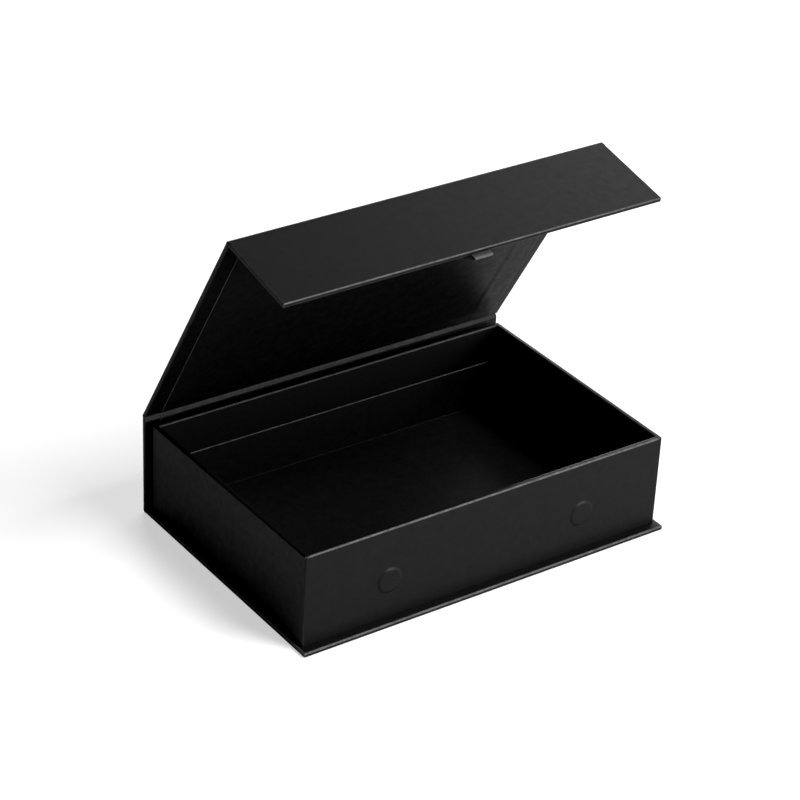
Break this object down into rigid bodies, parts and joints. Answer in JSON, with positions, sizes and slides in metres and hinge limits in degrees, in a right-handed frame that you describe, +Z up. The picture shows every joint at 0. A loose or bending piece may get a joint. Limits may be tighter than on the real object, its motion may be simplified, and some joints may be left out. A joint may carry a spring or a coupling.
{
  "type": "rigid gift box",
  "caption": "Book-style rigid gift box: a paper-wrapped tray on a hinged cover of wrapped boards, with a front flap that closes on hidden magnets and a ribbon pull.",
  "frame": {"origin": "centre of the base's underside, where the box stands", "axes": "+X along the front to the right as seen from the front, +Y to the back, where the cover hinges, +Z up"},
  "size_m": [0.2296, 0.1582, 0.1966],
  "materials": {
    "wrap_paper": "matt black wrapping paper, faintly mottled",
    "lining_paper": "matt black lining paper",
    "greyboard": "raw grey board, hidden by the paper",
    "corner_tape": "brown gummed paper tape, hidden by the wrap",
    "steel_disc": "plain steel disc, hidden by the wrap",
    "magnet": "nickel-plated disc magnet, hidden by the liner",
    "ribbon": "black woven ribbon with a soft sheen"
  },
  "bodies": {
    "tray": {"tray_front_board": "greyboard", "tray_back_board": "greyboard", "tray_left_board": "greyboard", "tray_right_board": "greyboard", "tray_floor_board": "greyboard", "front_left_tape": "corner_tape", "front_right_tape": "corner_tape", "back_left_tape": "corner_tape", "back_right_tape": "corner_tape", "tray_wrap": "wrap_paper", "tray_liner": "lining_paper", "left_steel_disc": "steel_disc", "right_steel_disc": "steel_disc", "base_board": "greyboard", "base_wrap": "wrap_paper", "foot_fold_paper": "wrap_paper", "foot_fold_liner": "lining_paper"},
    "spine": {"spine_board": "greyboard", "spine_wrap": "wrap_paper", "spine_liner": "lining_paper", "lid_fold_paper": "wrap_paper", "lid_fold_liner": "lining_paper"},
    "lid": {"lid_board": "greyboard", "lid_wrap": "wrap_paper", "lid_liner": "lining_paper", "flap_fold_paper": "wrap_paper", "flap_fold_liner": "lining_paper"},
    "flap": {"flap_board": "greyboard", "flap_wrap": "wrap_paper", "flap_liner": "lining_paper", "left_magnet": "magnet", "right_magnet": "magnet", "pull_ribbon": "ribbon"}
  },
  "joints": [
    {"name": "spine_hinge", "type": "hinge", "parent": "tray", "child": "spine", "pos_m": [0, 0.07855, 0], "axis": [-1, 0, 0], "range_deg": [-1, 89], "deforming": ["foot_fold_paper", "foot_fold_liner"]},
    {"name": "lid_hinge", "type": "hinge", "parent": "spine", "child": "lid", "pos_m": [0, 0.07959, 0.05944], "axis": [-1, 0, 0], "range_deg": [-59, 31], "deforming": ["lid_fold_paper", "lid_fold_liner"]},
    {"name": "flap_hinge", "type": "hinge", "parent": "lid", "child": "flap", "pos_m": [0, 0.00029, 0.19679], "axis": [-1, 0, 0], "range_deg": [-18, 72], "deforming": ["flap_fold_paper", "flap_fold_liner"]}
  ]
}
